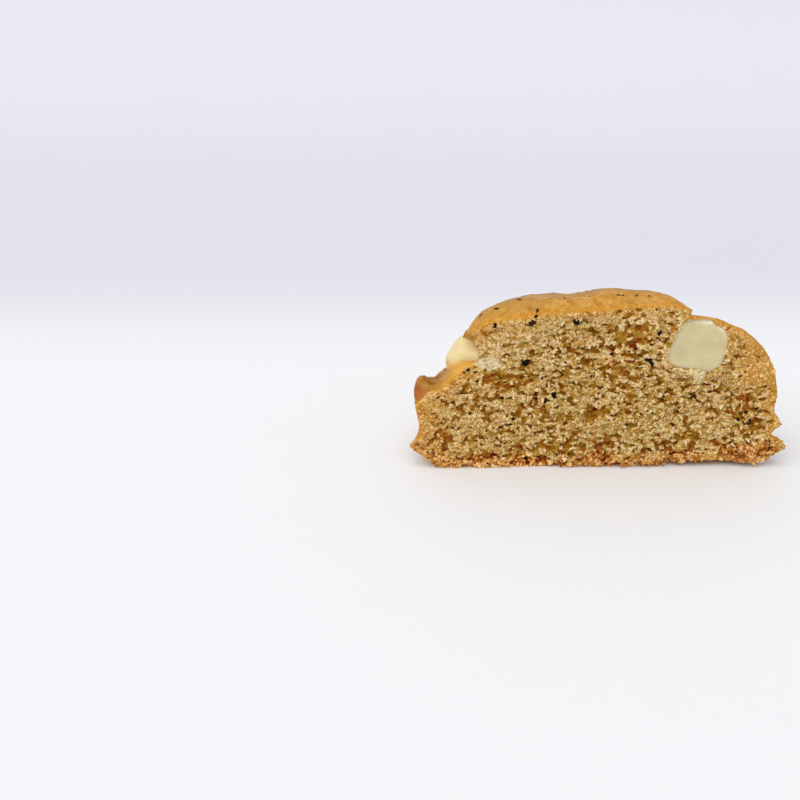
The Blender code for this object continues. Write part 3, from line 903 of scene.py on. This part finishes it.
def crust_body():
    """The loaf's crust from just behind the cut to the back, and the base."""
    points, normals, faces = even_quads(*loft(), BODY_VOXEL)
    backing = (normals[:, 1] < -0.8) & (points[:, 1] < 1.0)
    duck = DUCK_DEPTH * (1.0 - smoothstep(points[:, 1], *DUCK))
    points = points - normals * (duck * ~backing)[:, None]
    inside = bared(points[:, 0], points[:, 2])
    front = BODY_FRONT + np.maximum(0.0, fallen_back(inside, points[:, 2]) - BODY_FRONT + 0.3)
    points[:, 1] += np.where(points[:, 1] < front, (front - points[:, 1]) * 0.9, 0.0)
    points = add_crust_relief(points, np.ones(len(points)))
    points[:, 2] = np.maximum(points[:, 2], 0.0)
    crust = np.where(backing, smoothstep(inside, 0.0, 0.4), 1.0)
    # where the backing isn't crust it takes a dark toasted crumb colour, painted shade at the back of deep
    # holes
    look = dough_look(len(points), crust=crust, shade=0.9, tone=0.5, rim=1.0, **bake(points))
    return make_mesh("crust", points, faces, look)


# ------------ white chocolate


def box_axes(low, high, step):
    """Grid coordinates that cover a box with some air round it."""
    return [np.arange(low[i] - 3 * step, high[i] + 3 * step, step) for i in range(3)]


def chunk_sides(axes, x, y, z, chipped):
    """Distance to the sliced chunk's sides, which lean, narrow towards the back and fall in at the chip."""
    outline = cut_chunk_outline(CUT_CHUNK_STEPS)
    flat_x, flat_z = x[:, 0, :], z[:, 0, :]
    lean = [CUT_CHUNK_LEAN * max(0.0, place) for place in axes[1]]
    side = np.stack([polygon_distance(flat_x, flat_z + drop, outline) for drop in lean], axis=1)
    side += CUT_CHUNK_TAPER * np.maximum(0.0, y - CUT_CHUNK_DEPTH / 2) - 0.3 * np.clip(y / 0.6, 0.0, 1.0)
    side += (0.08 + 0.03 * chipped) * grid_noise(axes, *CHUNK_WOBBLE)
    return side + chipped * (CHIP_HOLLOW[0] * smoothstep(y, 0.3, 1.8) - CHIP_HOLLOW[1])


def sliced_chunk():
    """The chunk that the knife went through: a smooth face with a worn edge, and sides into the crumb."""
    low_x, low_z = cut_chunk_outline(CUT_CHUNK_STEPS).min(axis=0) - 0.4
    high_x, high_z = cut_chunk_outline(CUT_CHUNK_STEPS).max(axis=0) + 0.4
    low = (low_x, -CUT_CHUNK_PROUD, low_z - CUT_CHUNK_LEAN * CUT_CHUNK_DEPTH)
    axes = box_axes(low, (high_x, CUT_CHUNK_DEPTH, high_z), CHUNK_CELL)
    x, y, z = np.meshgrid(*axes, indexing="ij")
    chipped = smoothstep(z + CHIP_SLOPE * x, *CHIPPED)
    side = chunk_sides(axes, x, y, z, chipped)
    worn = (WORN_EDGE[0] + WORN_EDGE[1] * chipped) * smoothstep(side, -1.5, -0.3)
    knife = sum(grid_noise(axes, *noise) for noise in KNIFE_MARKS)
    knife += 0.09 * chipped * smoothstep(side, -1.6, -0.9) * grid_noise(axes, *CHIP_GRAIN)
    field = smooth_max(side, -y - CUT_CHUNK_PROUD + worn + knife, 0.5)
    field = smooth_max(field, y - CUT_CHUNK_DEPTH, 1.5)
    points, quads, cell = surface_nets(field, axes)
    at = tuple(cell.T)
    edge = smoothstep(side[at] + 0.3 * knife[at], -1.6, -1.0)
    none = np.zeros(len(points))
    # painted highlight: the sliced chunk's edge is paler, most of all at the chip on its upper right
    look = {"pale": edge * (0.15 + 0.85 * chipped[at]), "melted": none, "warm": none}
    return make_mesh("white_chocolate_sliced", points, quads, look)


def side_chunk():
    """The whole chunk that bulges out of the left shoulder, melted golden at its foot."""
    low = np.subtract(SIDE_CHUNK_CENTRE, SIDE_CHUNK_RADII)
    high = np.add(SIDE_CHUNK_CENTRE, SIDE_CHUNK_RADII)
    axes = box_axes(low, high, CHUNK_CELL)
    grid = np.meshgrid(*axes, indexing="ij")
    field = ellipsoid_field(grid, SIDE_CHUNK_CENTRE, SIDE_CHUNK_RADII, SIDE_CHUNK_SQUARE)
    for way, reach in SIDE_CHUNK_FACETS:
        plane = sum(way[i] * (grid[i] - SIDE_CHUNK_CENTRE[i]) for i in range(3)) - reach
        field = smooth_max(field, plane, FACET_ROUND)
    field += sum(grid_noise(axes, *noise) for noise in SIDE_CHUNK_UNEVEN)
    points, quads, _ = surface_nets(field, axes)
    height = points[:, 2] + point_noise(points, *MELT_WANDER) + 0.25 * points[:, 1]
    melted = 1.0 - smoothstep(height, *MELTED)
    look = {"pale": np.zeros(len(points)), "melted": melted, "warm": np.ones(len(points))}
    return make_mesh("white_chocolate_side", points, quads, look)


# ------------ loose grains and tea leaf


OCTAHEDRON = np.array(((1, 0, 0), (-1, 0, 0), (0, 1, 0), (0, -1, 0), (0, 0, 1), (0, 0, -1)), float)
OCTAHEDRON_FACES = np.array((
    (0, 2, 4), (2, 1, 4), (1, 3, 4), (3, 0, 4), (2, 0, 5), (1, 2, 5), (3, 1, 5), (0, 3, 5),
))


def random_turns(rng, count, tilt):
    """Rotation matrices: any turn in the plane of the cut, and tilted out of it more or less."""
    q = rng.standard_normal((count, 4)) * (1.0, tilt, 1.0, tilt)
    w, x, y, z = (q / np.linalg.norm(q, axis=1)[:, None]).T
    rows = (
        (1 - 2 * (y * y + z * z), 2 * (x * y - w * z), 2 * (x * z + w * y)),
        (2 * (x * y + w * z), 1 - 2 * (x * x + z * z), 2 * (y * z - w * x)),
        (2 * (x * z - w * y), 2 * (y * z + w * x), 1 - 2 * (x * x + y * y)),
    )
    return np.stack([np.stack(row, axis=1) for row in rows], axis=1)


def bits_mesh(rng, centres, sizes, turns, rough):
    """Many small angular bits as one mesh; sizes are half lengths along each bit's own axes."""
    count, corners = len(centres), len(OCTAHEDRON)
    shaken = OCTAHEDRON[None] + rng.uniform(-rough, rough, (count, corners, 3))
    placed = np.einsum("nij,nkj->nki", turns, shaken * sizes[:, None, :]) + centres[:, None, :]
    every = OCTAHEDRON_FACES[None] + corners * np.arange(count)[:, None, None]
    return placed.reshape(-1, 3), every.reshape(-1, 3)


def cut_spots(rng, slab):
    """Where flakes cling to the cut: on crumb that stands out, and off the chunks."""
    wanted = 2 * TRIES * FLAKES
    x = rng.uniform(-43.0, 43.0, wanted)
    z = rng.uniform(0.4, 39.0, wanted)
    y = slab.front_at(x, z)
    keep = (polygon_distance(x, z, section(0.0)) < -0.4) & (y < 0.5) & (bared(x, z) == 0.0)
    keep &= polygon_distance(x, z, cut_chunk_outline()) > 0.1
    keep &= rng.random(wanted) < np.clip(0.9 - 1.2 * (y + 0.2), 0.05, 1.0)
    return np.stack((x, y, z), axis=1)[np.flatnonzero(keep)[:FLAKES]]


def foot_spots(rng, slab):
    """Where flakes hang on the lower edge of the cut."""
    x = rng.uniform(-40.0, 41.0, TRIES * BASE_FLAKES)
    z = rng.uniform(0.2, 2.6, len(x))
    y = slab.front_at(x, z)
    near = (np.abs(polygon_distance(x, z, section(0.0))) < 0.9) & (y < 1.5)
    return np.stack((x, y, z), axis=1)[np.flatnonzero(near)[:BASE_FLAKES]]


def flakes(slab):
    """Loose flakes of crumb that cling to the cut and hang on its lower edge."""
    rng = np.random.default_rng(81)
    on_cut, at_foot = cut_spots(rng, slab), foot_spots(rng, slab)
    spots = np.concatenate((on_cut, at_foot))
    count, foot = len(spots), slice(len(on_cut), None)
    x, y, z = spots.T
    size = rng.lognormal(math.log(FLAKE_SIZE[0]), FLAKE_SIZE[1], count)
    size = np.minimum(2.0 * FLAKE_SIZE[0], size)
    size[foot] *= 1.3
    sizes = size[:, None] * rng.uniform(*FLAKE_SHAPE, (count, 3))
    centres = np.stack((x, y + 0.1 * size, np.maximum(z, 1.5 * size)), axis=1)
    points, faces = bits_mesh(rng, centres, sizes, random_turns(rng, count, 0.4), 0.35)
    shade = rng.uniform(*FLAKE_SHADE, count)
    shade[foot] += rng.uniform(-0.15, 0.2, len(at_foot))
    browned = baked(spots)
    skin = np.minimum(polygon_distance(x, z, section(0.0)), 0.0)
    look = dough_look(
        count, shade=shade + 0.07 * browned, tone=rng.random(count), rim=0.8 * toasted(x, z, skin),
        baked=0.9 * browned, smear=patches(x, z, SMEARS, FIRM),
    )
    look = {key: np.repeat(values, len(OCTAHEDRON)) for key, values in look.items()}
    return make_mesh("flakes", points, faces, look, smooth=False)


def cut_flecks(rng, slab):
    """Flecks on the cut: their places, the ways along them and out of the surface, and their lengths."""
    x, z, length, turn = np.array(CUT_FLECKS, float).T
    more_x = rng.uniform(-38.0, 39.0, TRIES * SMALL_FLECKS)
    more_z = rng.uniform(3.0, 37.0, TRIES * SMALL_FLECKS)
    free = polygon_distance(more_x, more_z, section(0.0)) < -1.5
    free &= polygon_distance(more_x, more_z, cut_chunk_outline()) > 0.6
    free = np.flatnonzero(free)[:SMALL_FLECKS]
    x = np.concatenate((x, more_x[free]))
    z = np.concatenate((z, more_z[free]))
    length = np.concatenate((length, rng.lognormal(math.log(0.45), 0.3, len(free))))
    turn = np.radians(np.concatenate((turn, rng.uniform(0, 180, len(free)))))
    y = np.minimum(slab.front_at(x, z), np.where(length > 1.0, -0.1, 0.4)) - 0.12
    along = np.stack((np.cos(turn), rng.uniform(-0.3, 0.3, len(x)), np.sin(turn)), axis=1)
    out = np.tile((0.0, -1.0, 0.0), (len(x), 1))
    return np.stack((x, y, z), axis=1), along, out, length


def cap_spots(spots, skin):
    """Points of the crust that the camera sees where the cap's flecks are."""
    seen = skin[(spots[skin, 1] < 12.0) & (spots[skin, 2] > 30.0)]
    sight = spots[seen] - CAMERA_PLACE
    sight /= np.linalg.norm(sight, axis=1)[:, None]
    found = []
    for x, z, _ in CAP_FLECKS:
        target = np.array((x, 0.0, z)) - CAMERA_PLACE
        off = np.cross(sight, target / np.linalg.norm(target))
        found.append(seen[np.argmin(np.linalg.norm(off, axis=1))])
    return found


def crust_flecks(rng, crust):
    """Flecks in the crust, given like those on the cut: the cap's own and scattered ones."""
    spots = (read_vectors(crust.data.vertices, "co") - SHIFT) / MM
    normals = read_vectors(crust.data.vertices, "normal")
    skin = np.flatnonzero((spots[:, 1] > 3.2) & (spots[:, 2] > 4.0))
    scattered = rng.choice(skin, CRUST_FLECKS, replace=False)
    chosen = np.concatenate((cap_spots(spots, skin), scattered))
    length = np.minimum(1.2, rng.lognormal(math.log(0.7), 0.35, CRUST_FLECKS))
    length = np.concatenate(([size for _, _, size in CAP_FLECKS], length))
    out = normals[chosen]
    along = rng.standard_normal((len(chosen), 3))
    along -= out * (along * out).sum(axis=1)[:, None]
    return spots[chosen] + 0.02 * out, along, out, length


def tea_leaf(slab, crust):
    """Flecks of black tea leaf on the cut and baked into the crust, each of a few overlapping bits."""
    rng = np.random.default_rng(91)
    on_cut, on_crust = cut_flecks(rng, slab), crust_flecks(rng, crust)
    places, along, out, length = (np.concatenate(pair) for pair in zip(on_cut, on_crust))
    along -= out * (along * out).sum(axis=1)[:, None]
    along /= np.linalg.norm(along, axis=1)[:, None]
    turns = np.stack((along, np.cross(out, along), out), axis=2)
    count = len(length)
    cut = np.arange(count) < len(on_cut[0])
    width = length * np.where(cut, rng.uniform(0.7, 1.0, count), rng.uniform(0.2, 0.6, count))
    thick = np.where(cut, 0.3 * width, 0.07)
    box = np.stack((length / 2, width / 2, thick), axis=1)
    owner = np.repeat(np.arange(count), LEAF_BITS)
    offset = rng.uniform(-0.6, 0.6, (len(owner), 3)) * box[owner] * (1, 1, 0.5)
    centres = places[owner] + np.einsum("nij,nj->ni", turns[owner], offset)
    sizes = box[owner] * rng.uniform(0.6, 0.95, (len(owner), 1)) * (1, 1, 1.3)
    points, faces = bits_mesh(rng, centres, sizes, turns[owner], 0.3)
    tone = np.repeat(rng.random(count)[owner], len(OCTAHEDRON))
    return make_mesh("tea_leaf", points, faces, {"tone": tone}, smooth=False)


# ------------ materials


def srgb(colour):
    """Linear values of a colour given as it looks on a screen, from 0 to 255."""
    return tuple(((c / 255 + 0.055) / 1.055) ** 2.4 if c > 10 else c / 255 / 12.92 for c in colour)


class Surface:
    """A material's node tree, with short names for the nodes used here."""

    def __init__(self, name):
        self.material = bpy.data.materials.new(name)
        self.material.use_nodes = True
        self.nodes = self.material.node_tree.nodes
        self.links = self.material.node_tree.links
        self.shader = self.nodes["Principled BSDF"]
        self.place = self.nodes.new("ShaderNodeTexCoord").outputs["Object"]

    def set_inputs(self, node, values):
        """Puts numbers, colours and other nodes' outputs into a node's inputs."""
        for key, value in values.items():
            if isinstance(value, bpy.types.NodeSocket):
                self.links.new(value, node.inputs[key])
            elif isinstance(value, tuple):
                node.inputs[key].default_value = (*srgb(value), 1.0)
            else:
                node.inputs[key].default_value = value

    def node(self, kind, values, **settings):
        """A new node with these settings and inputs."""
        node = self.nodes.new("ShaderNode" + kind)
        for key, value in settings.items():
            setattr(node, key, value)
        self.set_inputs(node, values)
        return node

    def attribute(self, name):
        return self.node("Attribute", {}, attribute_name=name).outputs["Fac"]

    def clouds(self, size_mm, detail=2.0, roughness=0.5):
        """Noise with clouds of about this size."""
        scale = 1.0 / (size_mm * MM)
        values = {"Scale": scale, "Detail": detail, "Roughness": roughness, "Vector": self.place}
        return self.node("TexNoise", values).outputs["Fac"]

    def ramp(self, value, *stops):
        """A colour for every value, from stops of a position and a colour."""
        node = self.node("ValToRGB", {"Fac": value})
        elements = node.color_ramp.elements
        while len(elements) < len(stops):
            elements.new(0.5)
        for element, (position, colour) in zip(elements, stops):
            element.position = position
            element.color = (*srgb(colour), 1.0)
        return node.outputs["Color"]

    def maths(self, kind, first, second):
        return self.node("Math", {0: first, 1: second}, operation=kind).outputs["Value"]

    def around(self, value, middle, gain):
        """The value's distance from a middle, multiplied."""
        return self.maths("MULTIPLY", self.maths("SUBTRACT", value, middle), gain)

    def mix(self, share, first, second, kind="MIX"):
        values = {"Factor": share, 6: first, 7: second}
        return self.node("Mix", values, data_type="RGBA", blend_type=kind).outputs[2]

    def rise(self, value, low, high):
        """0 below low, 1 above high and a smooth rise between them."""
        values = {"From Min": low, "From Max": high, "Value": value}
        return self.node("MapRange", values, interpolation_type="SMOOTHSTEP").outputs["Result"]

    def bump(self, height, distance_mm, strength):
        values = {"Strength": strength, "Distance": distance_mm * MM, "Height": height}
        self.set_inputs(self.shader, {"Normal": self.node("Bump", values).outputs["Normal"]})


# Colours as they look on a screen, from 0 to 255; the crumb's ramps go from its rims to its hollows, their
# darker end painted shade
OLIVE_RAMP = (
    (0.00, (240, 216, 164)), (0.12, (209, 176, 102)), (0.28, (179, 138, 42)),
    (0.46, (160, 114, 12)), (0.62, (154, 98, 10)), (0.80, (156, 80, 8)), (1.00, (150, 56, 6)),
)
RUSTY_RAMP = (
    (0.00, (240, 210, 160)), (0.12, (211, 169, 98)), (0.28, (183, 133, 46)),
    (0.46, (170, 108, 16)), (0.62, (164, 88, 10)), (0.80, (164, 68, 6)), (1.00, (152, 48, 4)),
)
TOASTED_RAMP = (
    (0.00, (236, 190, 106)), (0.22, (209, 147, 54)), (0.45, (189, 117, 18)),
    (0.75, (170, 86, 10)), (1.00, (150, 56, 6)),
)
BAKED_RAMP = (
    (0.00, (252, 218, 152)), (0.14, (224, 166, 80)), (0.30, (188, 108, 22)),
    (0.50, (130, 47, 6)), (0.80, (74, 17, 2)),
)
CRUST_RAMP = ((0.32, (168, 112, 36)), (0.50, (184, 134, 54)), (0.68, (196, 152, 76)))
# colours of the painted shading on the pressed shoulder near the cut
SHOULDER_SHADING_RAMP = ((0.35, (194, 127, 30)), (0.65, (214, 164, 76)))
SPECK_RAMP = ((0.30, (214, 190, 150)), (0.44, (255, 255, 255)))
BROWN_RAMP = ((0.35, (138, 60, 10)), (0.65, (181, 99, 28)))
STAIN_COLOUR = (226, 170, 72)
SMEAR_COLOUR = (236, 222, 180)
CHOCOLATE_RAMP = ((0.35, (208, 194, 146)), (0.65, (219, 205, 159)))
WARM_CHOCOLATE = (230, 210, 152)
# colour of the painted highlight on the sliced chunk's edge
EDGE_HIGHLIGHT_CHOCOLATE = (238, 230, 200)
MELTED_CHOCOLATE = (228, 170, 66)
TEA_RAMP = ((0.0, (14, 10, 7)), (0.5, (26, 18, 11)), (1.0, (58, 36, 18)))


def dough_material():
    """Baked dough: creamy crumb with painted shade, golden and brown in its hollows, and a golden crust."""
    look = Surface("baked_dough")
    # the crumb's colour follows its painted shade, with noise and its random tone
    shade = look.maths("ADD", look.attribute("shade"), look.around(look.clouds(0.36), 0.5, 0.60))
    shade = look.maths("ADD", shade, look.around(look.attribute("tone"), 0.5, 0.14))
    hue = look.rise(look.clouds(2.4, 3.0), 0.44, 0.58)
    crumb = look.mix(hue, look.ramp(shade, *OLIVE_RAMP), look.ramp(shade, *RUSTY_RAMP))
    crumb = look.mix(look.attribute("rim"), crumb, look.ramp(shade, *TOASTED_RAMP))
    crumb = look.mix(look.attribute("baked"), crumb, look.ramp(shade, *BAKED_RAMP))
    crust = look.ramp(look.clouds(5.0, 4.0, 0.6), *CRUST_RAMP)
    # painted shading in gold on the pressed shoulder near the cut
    crust = look.mix(look.attribute("shoulder_shading"), crust, look.ramp(look.clouds(1.6, 3.0), *SHOULDER_SHADING_RAMP))
    crust = look.mix(0.7, crust, look.ramp(look.clouds(0.6), *SPECK_RAMP), "MULTIPLY")
    # brown spots, brown foot and the painted shadow on the lip
    crust = look.mix(look.attribute("brown"), crust, look.ramp(look.clouds(1.4, 3.0), *BROWN_RAMP))
    colour = look.mix(look.attribute("crust"), crumb, crust)
    colour = look.mix(look.attribute("stain"), colour, look.mix(0.8, colour, STAIN_COLOUR))
    colour = look.mix(look.attribute("smear"), colour, look.mix(0.75, colour, SMEAR_COLOUR))
    smooth = look.maths("MAXIMUM", look.attribute("crust"), look.attribute("stain"))
    rough = look.maths("ADD", 0.86, look.maths("MULTIPLY", smooth, -0.30))
    look.set_inputs(look.shader, {"Base Color": colour, "Roughness": rough, "Specular IOR Level": 0.25})
    look.bump(look.clouds(0.35, 3.0, 0.7), 0.16, 0.8)
    return look.material


def chocolate_material():
    """White chocolate: cream, slightly waxy, with a painted highlight on the sliced chunk's edge and golden
    where it melted.
    """
    look = Surface("white_chocolate")
    colour = look.ramp(look.clouds(5.0), *CHOCOLATE_RAMP)
    colour = look.mix(look.attribute("warm"), colour, WARM_CHOCOLATE)
    # painted highlight along the sliced chunk's edge
    colour = look.mix(look.attribute("pale"), colour, EDGE_HIGHLIGHT_CHOCOLATE)
    colour = look.mix(look.attribute("melted"), colour, MELTED_CHOCOLATE)
    look.set_inputs(look.shader, {
        "Base Color": colour, "Roughness": 0.42, "Subsurface Weight": 0.45, "Subsurface Scale": 1.2 * MM,
    })
    look.shader.inputs["Subsurface Radius"].default_value = (1.0, 0.8, 0.4)
    look.bump(look.clouds(0.8, 3.0), 0.03, 0.5)
    return look.material


def tea_material():
    """Black tea leaf, a little brown, with a dull surface."""
    look = Surface("tea_leaf")
    colour = look.ramp(look.attribute("tone"), *TEA_RAMP)
    look.set_inputs(look.shader, {"Base Color": colour, "Roughness": 0.9, "Specular IOR Level": 0.1})
    look.bump(look.clouds(0.3), 0.05, 0.8)
    return look.material


# ------------ stage


CAMERA_PLACE = (-43.36, -177.5, 82.87)  # in design millimetres
CAMERA_PITCH = 20.6  # degrees down
FOCAL_PIXELS = 866.0  # of a photograph 800 pixels wide
PHOTO_WIDTH = 800.0
SENSOR = 36.0
FLOOR_NEAR = (243, 243, 243)
FLOOR_FAR = (221, 221, 227)
FLOOR_FADE = (0.04, 0.20)  # metres behind the middle over which the floor turns from near to far
SUN_FROM = (-0.35, -0.50, 0.85)  # direction that the main light comes from
SUN_SPREAD = 70.0  # degrees across, so that its shadows are soft
SUN_STRENGTH = 1.9
SKY_STRENGTH = 0.50
SKY_COLOUR = (0.95, 0.97, 1.0)


def camera():
    """The photograph's view."""
    data = bpy.data.cameras.new("camera")
    data.sensor_width = SENSOR
    data.sensor_fit = "HORIZONTAL"
    data.lens = SENSOR * FOCAL_PIXELS / PHOTO_WIDTH
    data.clip_start = 0.01
    obj = add_object("camera", data)
    obj.location = np.array(CAMERA_PLACE) * MM + SHIFT
    obj.rotation_euler = (math.radians(90.0 - CAMERA_PITCH), 0.0, 0.0)
    bpy.context.scene.camera = obj


def floor():
    """A pale floor that rises far away into a pale backdrop, with no edge between them."""
    bend, run, wide = 0.8, 0.9, 15.0
    profile = [(-12.0, 0.0), (run, 0.0)]
    for turn in np.linspace(0.1, math.pi / 2, 16):
        profile.append((run + bend * math.sin(turn), bend * (1 - math.cos(turn))))
    profile.append((run + bend, 4.0))
    points = [(side * wide, y, z) for y, z in profile for side in (-1, 1)]
    faces = [(2 * k, 2 * k + 1, 2 * k + 3, 2 * k + 2) for k in range(len(profile) - 1)]
    mesh = bpy.data.meshes.new("floor")
    mesh.from_pydata(points, [], faces)
    mesh.polygons.foreach_set("use_smooth", [True] * len(mesh.polygons))
    obj = add_object("floor", mesh)
    look = Surface("pale_floor")
    split = look.node("SeparateXYZ", {"Vector": look.place})
    far = look.rise(split.outputs["Y"], *FLOOR_FADE)
    look.set_inputs(look.shader, {"Base Color": look.mix(far, FLOOR_NEAR, FLOOR_FAR), "Roughness": 0.6})
    mesh.materials.append(look.material)


def lights():
    """One wide soft light from above the camera's left, and a pale sky all round."""
    data = bpy.data.lights.new("window", "SUN")
    data.energy = SUN_STRENGTH
    data.angle = math.radians(SUN_SPREAD)
    obj = add_object("window", data)
    obj.rotation_euler = Vector(SUN_FROM).to_track_quat("Z", "Y").to_euler()
    world = bpy.data.worlds.new("sky")
    world.use_nodes = True
    sky = world.node_tree.nodes["Background"].inputs
    sky["Color"].default_value = (*SKY_COLOUR, 1.0)
    sky["Strength"].default_value = SKY_STRENGTH
    bpy.context.scene.world = world
    bpy.context.scene.view_settings.view_transform = "Standard"


# ------------ putting it together


def dress(obj, material, slot_name, *nodes):
    """Gives a piece its material and its place on the body."""
    obj.data.materials.append(material)
    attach(obj, "root")
    if nodes:
        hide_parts(*nodes)


def main():
    """Makes the dressed part and its stage."""
    dough = dough_material()
    chocolate = chocolate_material()
    slab = Slab()
    for piece in crumb_slab(slab):
        dress(piece, dough, "baked_dough", "scone_body")
    crust = crust_body()
    dress(crust, dough, "baked_dough", "scone_body")
    dress(flakes(slab), dough, "baked_dough", "scone_body")
    dress(tea_leaf(slab, crust), tea_material(), "baked_dough", "scone_body")
    dress(sliced_chunk(), chocolate, "white_chocolate", "chocolate_sliced")
    dress(side_chunk(), chocolate, "white_chocolate", "chocolate_side")
    floor()
    lights()
    camera()


main()
